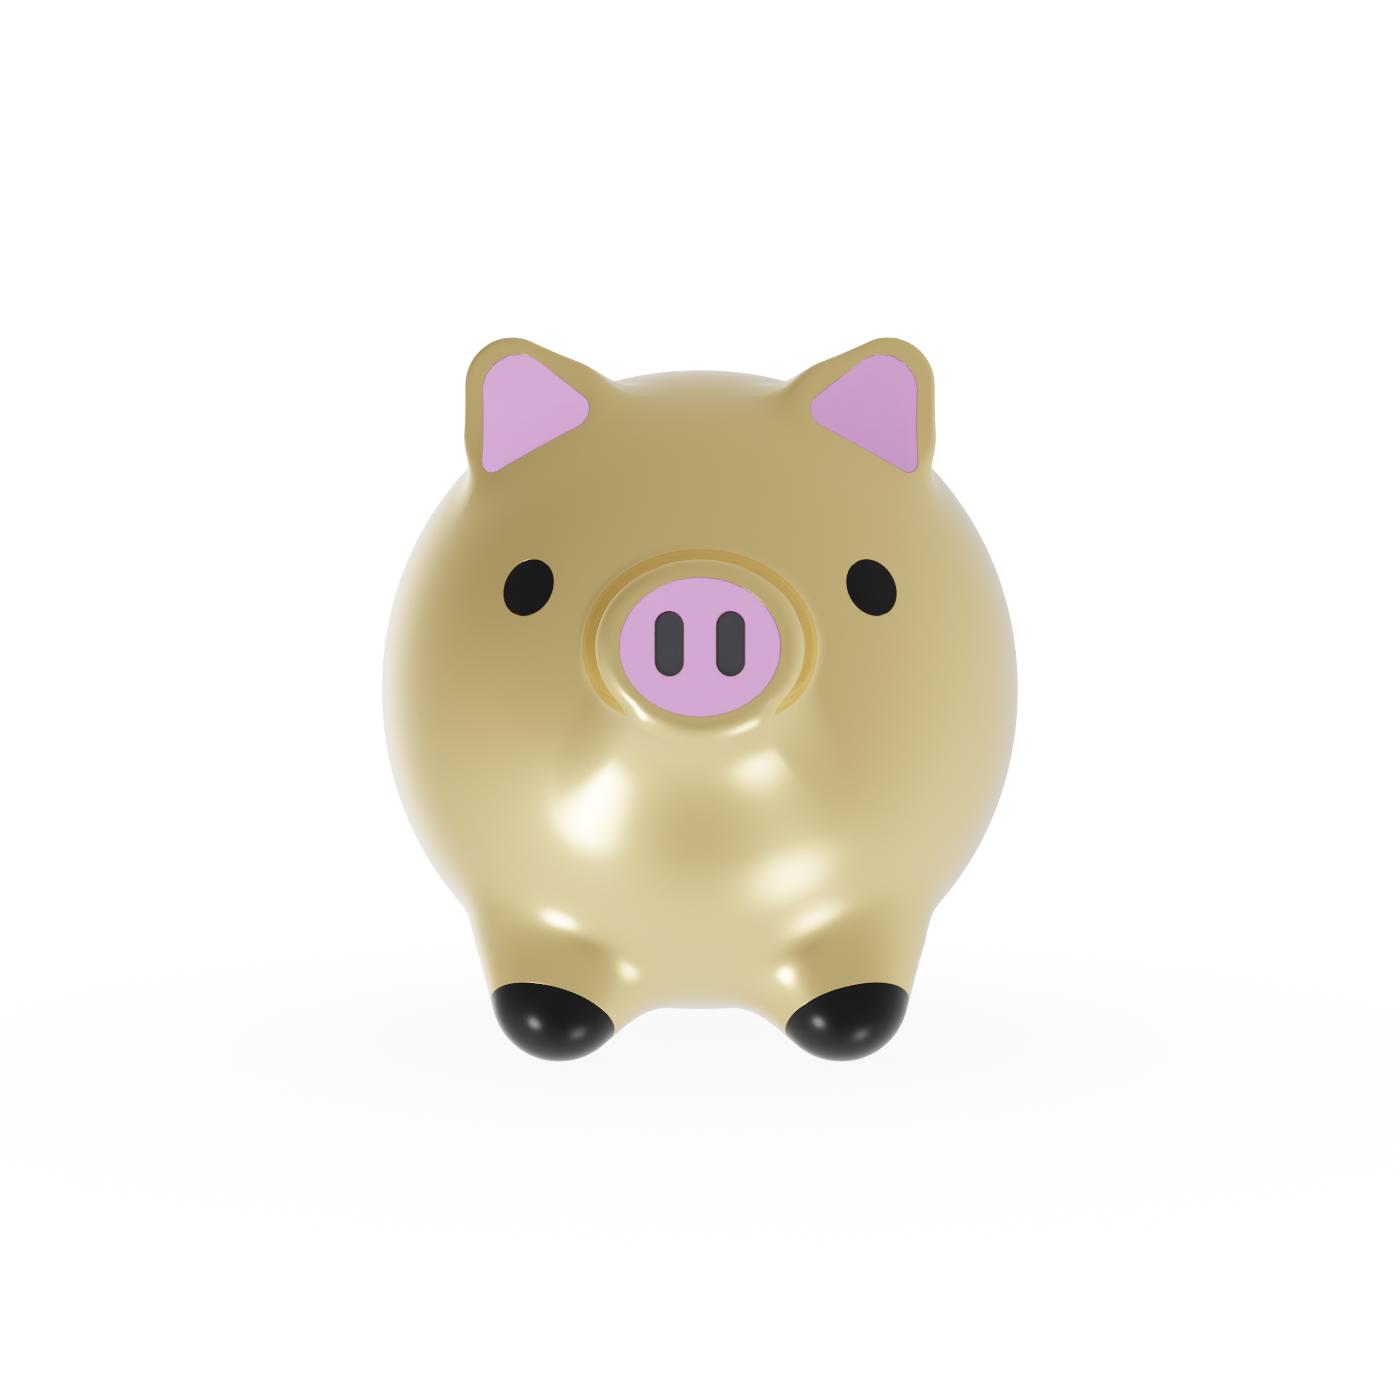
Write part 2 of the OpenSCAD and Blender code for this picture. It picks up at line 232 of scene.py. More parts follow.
def slope(f, p, step=0.02):
    parts = []
    for axis in range(3):
        shift = np.zeros(3)
        shift[axis] = step
        parts.append((f(*(p + shift).T) - f(*(p - shift).T)) / (2 * step))
    return np.stack(parts, 1)


def settle(f, p, rounds=3):
    """Moves points onto f = 0."""
    for _ in range(rounds):
        g = slope(f, p)
        p = p - g * (f(*p.T) / np.maximum((g * g).sum(1), 0.05))[:, None]
    return p


def normals_of(f, p):
    g = slope(f, p)
    return g / np.linalg.norm(g, axis=1, keepdims=True)


# ---------------------------------------------------------------- skin from a field
CORNERS = [(i, j, k) for i in (0, 1) for j in (0, 1) for k in (0, 1)]
RELAX = 0.6


def lines(start, *spans):
    """Grid lines from start through (end, step) spans."""
    marks = [np.array([start])]
    for end, step in spans:
        begin = marks[-1][-1]
        count = int(math.ceil((end - begin) / step))
        marks.append(np.linspace(begin, end, count + 1)[1:])
    return np.concatenate(marks)


def cell_points(value, grid, cells):
    """Mean crossing point of each cell's edges."""
    total = np.zeros((len(cells), 3))
    count = np.zeros(len(cells))
    for a in CORNERS:
        for axis in range(3):
            if a[axis]:
                continue
            b = tuple(1 if m == axis else a[m] for m in range(3))
            ia, ib = (cells + a).T, (cells + b).T
            va, vb = value[tuple(ia)], value[tuple(ib)]
            hit = (va < 0) != (vb < 0)
            t = np.where(hit, va / np.where(hit, va - vb, 1), 0)
            for m in range(3):
                pa, pb = grid[m][ia[m]], grid[m][ib[m]]
                total[:, m] += np.where(hit, pa + (pb - pa) * t, 0)
            count += hit
    return total / count[:, None]


def quads_across(value, ids, axis):
    """Quads of the cells round each grid edge along one axis that crosses the skin."""
    inside = value < 0
    low = [slice(None)] * 3
    high = [slice(None)] * 3
    low[axis], high[axis] = slice(None, -1), slice(1, None)
    a, b = inside[tuple(low)], inside[tuple(high)]
    edges = np.argwhere(a != b)
    leaving = a[tuple(edges.T)]
    m, n = (axis + 1) % 3, (axis + 2) % 3
    ring = []
    for dm, dn in ((-1, -1), (0, -1), (0, 0), (-1, 0)):
        cell = edges.copy()
        cell[:, m] += dm
        cell[:, n] += dn
        ring.append(ids[tuple(cell.T)])
    quads = np.stack(ring, 1)
    quads[~leaving] = quads[~leaving][:, ::-1]
    return quads


def edges_of(faces):
    """Directed edges of faces that all have the same number of corners."""
    count = faces.shape[1]
    return np.concatenate([faces[:, [i, (i + 1) % count]] for i in range(count)])


def relax(f, p, quads, rounds):
    """Evens the points out along the skin."""
    ends = edges_of(quads)
    count = np.bincount(ends.ravel(), minlength=len(p)).astype(float)
    for _ in range(rounds):
        mean = np.zeros_like(p)
        for m in range(3):
            mean[:, m] = np.bincount(ends[:, 0], p[ends[:, 1], m], len(p))
            mean[:, m] += np.bincount(ends[:, 1], p[ends[:, 0], m], len(p))
        shift = mean / count[:, None] - p
        n = normals_of(f, p)
        shift -= n * (shift * n).sum(1, keepdims=True)
        p = settle(f, p + shift * RELAX, 1)
    return settle(f, p)


def skin_of(f, grid, rounds):
    """Triangles of f = 0 on a grid."""
    x, y, z = (g.astype(np.float32) for g in grid)
    value = f(x[:, None, None], y[None, :, None], z[None, None, :])
    value = np.broadcast_to(value, (len(x), len(y), len(z)))
    inside = (value < 0).astype(np.int8)
    total = sum(
        inside[i : len(x) - 1 + i, j : len(y) - 1 + j, k : len(z) - 1 + k]
        for i, j, k in CORNERS
    )
    cells = np.argwhere((total > 0) & (total < 8))
    ids = np.full(total.shape, -1, np.int64)
    ids[tuple(cells.T)] = np.arange(len(cells))
    p = settle(f, cell_points(value, grid, cells))
    quads = np.concatenate([quads_across(value, ids, axis) for axis in range(3)])
    p = relax(f, p, quads, rounds)
    return p, halves_of(p, quads)


def halves_of(p, quads):
    """Triangles of quads, each split along its shorter diagonal."""
    corner = p[quads]
    first = np.linalg.norm(corner[:, 0] - corner[:, 2], axis=1)
    second = np.linalg.norm(corner[:, 1] - corner[:, 3], axis=1)
    straight = (first <= second)[:, None]
    a, b, c, d = quads.T
    one = np.where(straight, np.stack([a, b, c], 1), np.stack([a, b, d], 1))
    two = np.where(straight, np.stack([a, c, d], 1), np.stack([b, c, d], 1))
    return np.concatenate([one, two])


# ---------------------------------------------------------------- cutting a skin
NOTHING = 1e-7


def turned_to(tri, first):
    """Corners of faces, each counted from its own first one."""
    rows = np.arange(len(tri))
    return [tri[rows, (first + i) % 3] for i in range(3)]


def split_faces(tri, label, side, ends):
    """Faces that a cut crosses, split at its new points, which follow the old ones."""
    base = len(side)
    keys = ends[:, 0] * base + ends[:, 1]

    def middle(a, b):
        key = np.minimum(a, b) * base + np.maximum(a, b)
        return base + np.searchsorted(keys, key)

    s = side[tri]
    touching = (s == 0).any(1)
    a, b, c = turned_to(tri[touching], np.argmax(s[touching] == 0, axis=1))
    m = middle(b, c)
    made = [np.stack([a, b, m], 1), np.stack([a, m, c], 1)]
    s = s[~touching]
    lone = np.argmax(s == -np.sign(s.sum(1))[:, None], axis=1)
    a, b, c = turned_to(tri[~touching], lone)
    m, n = middle(a, b), middle(a, c)
    made += [np.stack(v, 1) for v in ((a, m, n), (m, b, c), (m, c, n))]
    return made, [label[touching]] * 2 + [label[~touching]] * 3


class Skin:
    """Triangles of f = 0, which outlines cut into named areas."""

    def __init__(self, f, grid, rounds, snap):
        self.f = f
        self.snap = snap
        self.p, self.tri = skin_of(f, grid, rounds)
        self.held = np.zeros(len(self.p), bool)
        self.label = np.full(len(self.tri), "", dtype="<U24")

    def onto(self, g, p):
        """Moves points onto both the skin and g = 0."""
        for _ in range(4):
            n = normals_of(self.f, p)
            s = slope(g, p)
            s -= n * (s * n).sum(1, keepdims=True)
            p = p - s * (g(*p.T) / np.maximum((s * s).sum(1), 0.05))[:, None]
            p = settle(self.f, p, 1)
        return p

    def snapped(self, g):
        """Distance to g = 0 at each point, after the points near to it move onto it."""
        d = g(*self.p.T)
        near = (np.abs(d) < self.snap) & ~self.held
        self.p[near] = self.onto(g, self.p[near])
        d[near] = 0
        d[np.abs(d) < NOTHING] = 0
        return d

    def points_across(self, g, d, ends):
        """A new point on g = 0 for each edge that crosses it."""
        t = (d[ends[:, 0]] / (d[ends[:, 0]] - d[ends[:, 1]]))[:, None]
        fresh = self.p[ends[:, 0]] * (1 - t) + self.p[ends[:, 1]] * t
        free = ~(self.held[ends[:, 0]] & self.held[ends[:, 1]])
        fresh[free] = self.onto(g, fresh[free])
        return fresh

    def cut(self, g):
        """Runs edges along g = 0, by moving near points and splitting faces."""
        d = self.snapped(g)
        side = np.sign(d)
        crossed = (side[self.tri].min(1) < 0) & (side[self.tri].max(1) > 0)
        ends = edges_of(self.tri[crossed])
        ends = ends[d[ends[:, 0]] * d[ends[:, 1]] < 0]
        ends = np.unique(np.sort(ends, 1), axis=0)
        if not len(ends):
            return
        fresh = self.points_across(g, d, ends)
        made, made_label = split_faces(self.tri[crossed], self.label[crossed], side, ends)
        self.p = np.concatenate([self.p, fresh])
        self.tri = np.concatenate([self.tri[~crossed], *made])
        self.label = np.concatenate([self.label[~crossed], *made_label])
        self.held = np.concatenate([self.held | (d == 0), np.ones(len(fresh), bool)])

    def mark(self, g, name, parent=""):
        """Names the parent's faces where g is negative."""
        self.cut(g)
        middle = self.p[self.tri].mean(1)
        self.label[(g(*middle.T) < 0) & (self.label == parent)] = name

    def inlay(self, g, gap, name, parent=""):
        """Names an area and the narrow gap round it."""
        self.mark(g, name + "_gap", parent)
        self.mark(lambda x, y, z: g(x, y, z) + gap, name, name + "_gap")

    def faces(self, *names):
        return self.tri[np.isin(self.label, names)]


def rims(tri):
    """Directed loops of points round the open edges of faces."""
    ends = edges_of(tri)
    size = tri.max() + 1
    key, back = ends[:, 0] * size + ends[:, 1], ends[:, 1] * size + ends[:, 0]
    follow = dict(ends[~np.isin(key, back)].tolist())
    loops = []
    while follow:
        start, nxt = follow.popitem()
        loop = [start]
        while nxt != start:
            loop.append(nxt)
            nxt = follow.pop(nxt)
        loops.append(np.array(loop))
    return sorted(loops, key=lambda loop: (-len(loop), loop.min()))


# ---------------------------------------------------------------- solids
def quarter_round(r, steps):
    """Profile of a rounded edge: out, down and turn of its normal."""
    turns = [math.pi / 2 * (i + 1) / steps for i in range(steps)]
    return [(r * math.sin(a), r * (1 - math.cos(a)), a) for a in turns]


class Solid:
    """Triangles with a normal for each face corner."""

    def __init__(self):
        self.p, self.tri, self.n, self.size = [], [], [], 0

    def points(self, p):
        self.p.append(p)
        self.size += len(p)
        return np.arange(self.size - len(p), self.size)

    def faces(self, tri, n):
        self.tri.append(tri)
        self.n.append(n)

    def patch(self, p, tri, n, index, flip=False):
        """Faces of a skin; index says which of its points this solid already has."""
        used = np.unique(tri)
        missing = used[index[used] < 0]
        index[missing] = self.points(p[missing])
        if flip:
            tri, n = tri[:, ::-1], -n
        self.faces(index[tri], n[tri])

    def flat(self, tri):
        """Faces with their own plane normals."""
        p = np.concatenate(self.p)[tri]
        n = np.cross(p[:, 1] - p[:, 0], p[:, 2] - p[:, 0])
        n /= np.maximum(np.linalg.norm(n, axis=1, keepdims=True), 1e-12)
        self.faces(tri, np.repeat(n[:, None], 3, 1))

    def band(self, a, b, na, nb):
        """Faces between two rings, b lying below a."""
        a2, b2, na2, nb2 = (np.roll(v, -1, 0) for v in (a, b, na, nb))
        self.faces(np.stack([a2, a, b], 1), np.stack([na2, na, nb], 1))
        self.faces(np.stack([a2, b, b2], 1), np.stack([na2, nb, nb2], 1))

    def skirt(self, ring, p, n, profile):
        """Walks a ring outwards and down along a profile. Gives the last one and its points."""
        along = unit_rows(np.roll(p, -1, 0) - np.roll(p, 1, 0))
        out = unit_rows(np.cross(along, n))
        before = n
        for reach, drop, turn in profile:
            now = n * math.cos(turn) + out * math.sin(turn)
            where = p + out * reach - n * drop
            fresh = self.points(where)
            self.band(ring, fresh, before, now)
            ring, before = fresh, now
        return ring, where

    def zip(self, a, b):
        """Triangles between two rings with different counts, which run the same way."""
        p = np.concatenate(self.p)
        b = np.roll(b, -int(np.argmin(np.linalg.norm(p[b] - p[a[0]], axis=1))))
        a, b = np.append(a, a[0]), np.append(b, b[0])
        i = j = 0
        made = []
        while i < len(a) - 1 or j < len(b) - 1:
            step_a = step_b = math.inf
            if i < len(a) - 1:
                step_a = np.linalg.norm(p[a[i + 1]] - p[b[j]])
            if j < len(b) - 1:
                step_b = np.linalg.norm(p[b[j + 1]] - p[a[i]])
            if step_a <= step_b:
                made.append((a[i + 1], a[i], b[j]))
                i += 1
            else:
                made.append((a[i], b[j], b[j + 1]))
                j += 1
        self.flat(np.array(made))

    def piece(self, name, material, body, nodes):
        p = np.concatenate(self.p)
        tri, n = np.concatenate(self.tri), np.concatenate(self.n)
        p = (p + (0, 0, LIFT)) * MM
        mesh = bpy.data.meshes.new(name)
        mesh.vertices.add(len(p))
        mesh.vertices.foreach_set("co", p.astype(np.float32).ravel())
        mesh.loops.add(tri.size)
        mesh.loops.foreach_set("vertex_index", tri.astype(np.int32).ravel())
        mesh.polygons.add(len(tri))
        mesh.polygons.foreach_set("loop_start", np.arange(0, tri.size, 3, np.int32))
        mesh.update(calc_edges=True)
        mesh.shade_smooth()
        mesh.normals_split_custom_set(n.reshape(-1, 3).tolist())
        finish_piece(mesh, name, material, body, nodes)


def unit_rows(v):
    return v / np.maximum(np.linalg.norm(v, axis=1, keepdims=True), 1e-12)


def finish_piece(mesh, name, material, body, nodes):
    mesh.materials.append(material)
    obj = bpy.data.objects.new(name, mesh)
    bpy.context.collection.objects.link(obj)
    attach(obj, body)
    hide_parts(*nodes)


# ---------------------------------------------------------------- outlines on the skin
FAR = 10.0


def rounded_outline(corners, radii, steps):
    """Corners of a polygon whose own corners are rounded."""
    points = []
    for i, corner in enumerate(corners):
        corner = np.array(corner)
        u = unit(np.array(corners[i - 1]) - corner)
        v = unit(np.array(corners[(i + 1) % len(corners)]) - corner)
        half = math.acos(u @ v) / 2
        centre = corner + unit(u + v) * radii[i] / math.sin(half)
        a, b = corner + u * radii[i] / math.tan(half), corner + v * radii[i] / math.tan(half)
        for s in np.linspace(0, 1, steps):
            points.append(tuple(centre + radii[i] * unit(a * (1 - s) + b * s - centre)))
    return points


PAD_OUTLINE = rounded_outline(PAD_CORNERS, PAD_RADII, steps=10)


def pill_field(u, v, half):
    straight = np.maximum(np.abs(v) - (half[1] - half[0]), 0)
    return np.sqrt(u * u + straight * straight) - half[0]


def pad_outline(side):
    def g(x, y, z):
        across, up, ahead = ear_place(x * side, y, z)
        d = outline_field(across, up, PAD_OUTLINE)
        return np.where((ahead > 0) & (x * side > 0), d, FAR)
    return g


def disc_outline(x, y, z):
    d = oval_field(x, z - SNOUT_RISE, DISC_HALF)
    return np.where(y < -BODY_HALF[1], d, FAR)


def nostril_outline(side):
    def g(x, y, z):
        d = pill_field(x - side * NOSTRIL_OUT, z - NOSTRIL_RISE, NOSTRIL_HALF)
        return np.where(y < -BODY_HALF[1], d, FAR)
    return g


def round_outline(along, r):
    """Circle round a line through the body's centre."""
    def g(x, y, z):
        up = x * along[0] + y * along[1] + z * along[2]
        off = np.sqrt(np.maximum(x * x + y * y + z * z - up * up, 0))
        return np.where(up > 0, off - r, FAR)
    return g


def eye_axis(side):
    flat = math.cos(EYE_RISE)
    return (side * flat * math.sin(EYE_TURN), -flat * math.cos(EYE_TURN), math.sin(EYE_RISE))


def screw_axis(side):
    flat = math.cos(SCREW_BACK)
    sway = side * math.sin(SCREW_ANGLE) * flat
    return (sway, math.sin(SCREW_BACK), math.cos(SCREW_ANGLE) * flat)


def leg_axis(side, end):
    return unit((side * LEG_ALONG[0], end * LEG_ALONG[1], LEG_ALONG[2]))


def hoof_outline(side, end):
    """Plane where a hoof cap meets its leg."""
    along = leg_axis(side, end)
    centre = np.array((side * HOOF[0], end * HOOF[1], HOOF[2]))

    def g(x, y, z):
        dx, dy, dz = x - centre[0], y - centre[1], z - centre[2]
        d = HOOF_CUT - (dx * along[0] + dy * along[1] + dz * along[2])
        near = dx * dx + dy * dy + dz * dz < (2 * HOOF_R) ** 2
        return np.where(near, d, FAR)
    return g


def slot_outline(x, y, z):
    up = y * math.sin(SLOT_BACK) + z * math.cos(SLOT_BACK)
    along = y * math.cos(SLOT_BACK) - z * math.sin(SLOT_BACK)
    return np.where(up > 0, pill_field(x, along, SLOT_HALF), FAR)


def belly_circle(r):
    def g(x, y, z):
        d = np.sqrt(x * x + (y - RECESS_Y) ** 2) - r
        return np.where(z < -BODY_HALF[2] / 2, d, FAR)
    return g


def ahead_of(y0):
    return lambda x, y, z: y - y0


def behind(y0):
    return lambda x, y, z: y0 - y


# ---------------------------------------------------------------- the two skins
SIDES = {"left": 1, "right": -1}
ENDS = {"front": -1, "rear": 1}
INLAY_GAP = 0.22
HOOF_GAP = 0.26
NOSTRIL_GAP = 0.24


def make_outer_skin():
    # The grid's lines lie closest together round the snout
    grid = (
        lines(-62, (-22, 1.0), (22, 0.52), (62, 1.0)),
        lines(-70, (-62, 0.45), (-37, 0.85), (-20, 0.7), (62, 1.0)),
        lines(-66, (-12, 1.0), (24, 0.52), (36, 0.85), (73, 0.75)),
    )
    skin = Skin(field, grid, rounds=5, snap=0.12)
    for name, side in SIDES.items():
        skin.inlay(pad_outline(side), INLAY_GAP, "ear_pad_" + name)
        skin.inlay(round_outline(eye_axis(side), EYE_R), INLAY_GAP, "eye_" + name)
        for end_name, end in ENDS.items():
            g = hoof_outline(side, end)
            skin.inlay(g, HOOF_GAP, "hoof_" + end_name + "_" + name)
        skin.mark(round_outline(screw_axis(side), SCREW_HOLE_R), "screw_" + name)
    skin.inlay(disc_outline, INLAY_GAP, "snout_disc")
    for name, side in SIDES.items():
        skin.inlay(nostril_outline(side), NOSTRIL_GAP, "nostril_" + name, "snout_disc")
    skin.mark(slot_outline, "slot")
    skin.mark(belly_circle(RECESS_R), "recess")
    skin.mark(ahead_of(-SEAM), "front")
    skin.mark(behind(SEAM), "rear")
    skin.n = normals_of(field, skin.p)
    return skin


def make_inner_skin():
    grid = [lines(-60, (60, 1.2))] * 3
    skin = Skin(cavity_field, grid, rounds=4, snap=0.05)
    skin.mark(slot_outline, "slot")
    skin.mark(belly_circle(RING_HOLE_R), "recess")
    skin.mark(ahead_of(-SEAM), "front")
    skin.mark(behind(SEAM), "rear")
    skin.n = normals_of(cavity_field, skin.p)
    return skin


# ---------------------------------------------------------------- moulded pieces
EDGE_INLAY = 0.08
EDGE_HOOF = 0.10
EDGE_SEAM = 0.10
EDGE_SLOT = 0.7
EDGE_RECESS = 0.5
ROUND_STEPS = 3
SLOT_STEPS = 6
SLOT_STRAIGHT = WALL * 0.7
SEAM_STEPS = 4
# Radius round the stopper's axis and depth below the skin of each step of the seam's wall
SEAM_WALL = ((RECESS_R, WALL * 0.3), (RING_HOLE_R, WALL * 0.6))
ON_LINE = 0.02
NEAR_LINE = 0.3
TOUCH = 0.02


def deep(profile, depth):
    """A rounded edge and then a straight wall below it."""
    reach, _, turn = profile[-1]
    return profile + [(reach, depth, turn)]


def onto_plane(p, along, level):
    along = np.asarray(along)
    return p - along * ((p @ along) - level)[:, None]


def pocket_names(skin, name):
    return [str(v) for v in np.unique(skin.label) if str(v).startswith(name)]


def rim_index(size, loop, ring):
    """Which of a skin's points a solid already has, where it has only a rim."""
    index = np.full(size, -1)
    index[loop] = ring
    return index


def lower_patch(solid, skin, tri, loop, ring, depth):
    """A skin's faces again, at a depth below it, joined to a ring of this solid."""
    index = rim_index(len(skin.p), loop, ring)
    solid.patch(skin.p - skin.n * depth, tri, skin.n, index)


def plane_patch(solid, skin, tri, loop, ring, along, level, flip=False):
    """A skin's faces flattened onto a plane, joined to a ring of this solid."""
    index = rim_index(len(skin.p), loop, ring)
    n = np.repeat(np.asarray(along)[None], len(skin.p), 0)
    solid.patch(onto_plane(skin.p, along, level), tri, n, index, flip)


def owner_of(loop, skin, tests):
    """The name of the outline that a loop lies on."""
    for name, g in tests.items():
        if np.abs(g(*skin.p[loop].T)).max() < NEAR_LINE:
            return name
    return "main"


def pocket_depth(name):
    if name.startswith("screw"):
        return SCREW_DEPTH
    return DISC_DEPTH if name == "snout_disc" else INLAY_DEPTH


def close_pocket(solid, skin, name, loop, ring):
    """Wall and floor of the pocket that an inlay, a hoof cap or a screw's head sits in."""
    p, n = skin.p[loop], skin.n[loop]
    names = pocket_names(skin, name)
    if name == "snout_disc":
        names += pocket_names(skin, "nostril")
    tri = skin.faces(*names)
    if name.startswith("hoof"):
        _, end_name, side_name = name.split("_")
        along = leg_axis(SIDES[side_name], ENDS[end_name])
        ring, where = solid.skirt(ring, p, n, quarter_round(EDGE_HOOF, ROUND_STEPS))
        plane_patch(solid, skin, tri, loop, ring, along, (where @ along).mean())
        return
    depth = pocket_depth(name)
    profile = deep(quarter_round(EDGE_INLAY, ROUND_STEPS), depth)
    ring, _ = solid.skirt(ring, p, n, profile)
    lower_patch(solid, skin, tri, loop, ring, depth)


def close_slot(solid, skin, loop, ring, inner_ring):
    """Rounded mouth of the coin slot and its wall, as far as the inner skin."""
    profile = deep(quarter_round(EDGE_SLOT, SLOT_STEPS), SLOT_STRAIGHT)
    ring, _ = solid.skirt(ring, skin.p[loop], skin.n[loop], profile)
    solid.zip(ring, inner_ring)


def on_seam(p):
    return np.abs(np.abs(p[:, 1]) - SEAM) < ON_LINE


def seam_edge(solid, p, n, circle, ring):
    """Rounded edge of a half, broader round the recess than along the seam."""
    edge = np.where(circle & ~on_seam(p), EDGE_RECESS, EDGE_SEAM)
    along = unit_rows(np.roll(p, -1, 0) - np.roll(p, 1, 0))
    out = unit_rows(np.cross(along, n))
    before = n
    for _, drop, turn in quarter_round(1, SEAM_STEPS):
        now = n * math.cos(turn) + out * math.sin(turn)
        fresh = solid.points(p - n * (edge * drop)[:, None])
        solid.band(ring, fresh, before, now)
        ring, before = fresh, now
    return ring


def onto_circle(p, radius):
    """X and Y of points moved out or in to a circle about the stopper's axis."""
    off = p[:, :2] - (0, RECESS_Y)
    at = off / np.linalg.norm(off, axis=1, keepdims=True) * radius + (0, RECESS_Y)
    corner = on_seam(p)
    across = np.sqrt(radius ** 2 - (p[corner, 1] - RECESS_Y) ** 2 + 1e-9)
    at[corner] = np.stack([np.sign(p[corner, 0]) * across, p[corner, 1]], 1)
    return at


def close_seam(solid, skin, loop, ring, inner_ring):
    """Wall of the seam, where the halves meet below a fine groove, and of the recess."""
    p, n = skin.p[loop], skin.n[loop]
    circle = np.abs(belly_circle(RECESS_R)(*p.T)) < ON_LINE
    ring = seam_edge(solid, p, n, circle, ring)
    for radius, depth in SEAM_WALL:
        where = p - n * depth
        where[:, 1] = 0
        where[circle, :2] = onto_circle(p, radius)[circle]
        where[circle, 2] = RECESS_Z
        fresh = solid.points(where)
        solid.flat(ring_faces(ring, fresh))
        ring = fresh
    solid.zip(ring, inner_ring)


def ring_faces(a, b):
    a2, b2 = np.roll(a, -1), np.roll(b, -1)
    return np.concatenate([np.stack([a2, a, b], 1), np.stack([a2, b, b2], 1)])


def outline_tests(half):
    tests = {"slot": slot_outline}
    for name, side in SIDES.items():
        tests["hoof_" + half + "_" + name] = hoof_outline(side, ENDS[half])
        tests["screw_" + name] = round_outline(screw_axis(side), SCREW_HOLE_R)
        tests["ear_pad_" + name] = pad_outline(side)
        tests["eye_" + name] = round_outline(eye_axis(side), EYE_R)
    tests["snout_disc"] = disc_outline
    return tests


def make_shell(half, skin, cavity, material):
    """Half of the hollow body: outer skin, inner skin and every wall between them."""
    solid = Solid()
    outer = skin.faces(half)
    index = np.full(len(skin.p), -1)
    solid.patch(skin.p, outer, skin.n, index)
    inner = cavity.faces(half)
    inner_index = np.full(len(cavity.p), -1)
    solid.patch(cavity.p, inner, cavity.n, inner_index, flip=True)
    inner_loops = {owner_of(v, cavity, {"slot": slot_outline}): v for v in rims(inner)}
    tests = outline_tests(half)
    for loop in rims(outer):
        name = owner_of(loop, skin, tests)
        ring = index[loop]
        if name == "main":
            close_seam(solid, skin, loop, ring, inner_index[inner_loops[name]])
        elif name == "slot":
            close_slot(solid, skin, loop, ring, inner_index[inner_loops[name]])
        else:
            close_pocket(solid, skin, name, loop, ring)
    name = half + "_shell_moulding"
    solid.piece(name, material, "bank", [half + "_shell"])


def make_inlay(skin, name, material, depth, sink=0.0):
    """A closed inlay: its face, its rounded edge, its side and its back."""
    solid = Solid()
    tri = skin.faces(name)
    top = skin.p - skin.n * sink
    index = np.full(len(skin.p), -1)
    solid.patch(top, tri, skin.n, index)
    back = np.full(len(skin.p), -1)
    for loop in rims(tri):
        profile = deep(quarter_round(EDGE_INLAY, ROUND_STEPS), depth - TOUCH)
        back[loop], _ = solid.skirt(index[loop], top[loop], skin.n[loop], profile)
    solid.patch(top - skin.n * (depth - TOUCH), tri, skin.n, back, flip=True)
    solid.piece(name + "_inlay", material, "bank", [name])


def make_hoof(skin, end_name, side_name, material):
    """A hoof cap, round below and flat where it meets its leg."""
    solid = Solid()
    name = "hoof_" + end_name + "_" + side_name
    along = leg_axis(SIDES[side_name], ENDS[end_name])
    tri = skin.faces(name)
    index = np.full(len(skin.p), -1)
    solid.patch(skin.p, tri, skin.n, index)
    loop = rims(tri)[0]
    profile = quarter_round(EDGE_HOOF, ROUND_STEPS)
    ring, where = solid.skirt(index[loop], skin.p[loop], skin.n[loop], profile)
    level = (where @ along).mean()
    plane_patch(solid, skin, tri, loop, ring, along, level, flip=True)
    solid.piece(name + "_cap", material, "bank", [name])


# ---------------------------------------------------------------- turned pieces
RING_CORNERS = (
    (13.2, -55.8), (15.8, -55.8), (15.8, -54.6), (14.5, -54.6),
    (14.5, -52.0), (15.8, -52.0), (15.8, -50.8), (13.2, -50.8),
)
RING_RADII = (0.35, 0.4, 0.3, 0.05, 0.05, 0.3, 0.4, 0.35)
STOPPER_CORNERS = (
    (0.0, -52.3), (10.2, -52.3), (10.2, -57.0), (14.6, -57.0), (14.6, -55.85),
    (13.1, -55.85), (13.1, -54.8), (12.6, -54.3), (12.6, -53.1), (13.05, -52.6),
    (12.95, -49.9), (12.2, -48.8), (0.0, -48.8),
)
STOPPER_RADII = (0, 0.8, 0.45, 0.5, 0.35, 0.2, 0.3, 0.3, 0.3, 0.3, 0.4, 0.4, 0)
TURNED_SIDES = 160
ROUND_POINTS = 6
SHARP = math.radians(38)
GRIP_HALF = 1.2
GRIP_FLARE = 1.4
GRIP_EDGE = 0.5
GRIP_REACH = 10.6
GRIP_LOW = -56.7
GRIP_HIGH = -52.0
GRIP_STATIONS = 41


def mesh_piece(name, p, faces, material, body, nodes):
    """A piece from points in millimetres, with points that coincide joined."""
    mesh = bpy.data.meshes.new(name)
    places = [(x * MM, y * MM, (z + LIFT) * MM) for x, y, z in p]
    mesh.from_pydata(places, [], faces)
    work = bmesh.new()
    work.from_mesh(mesh)
    bmesh.ops.remove_doubles(work, verts=work.verts, dist=1e-7)
    bmesh.ops.recalc_face_normals(work, faces=work.faces)
    work.to_mesh(mesh)
    work.free()
    mesh.shade_smooth()
    mesh.set_sharp_from_angle(angle=SHARP)
    finish_piece(mesh, name, material, body, nodes)


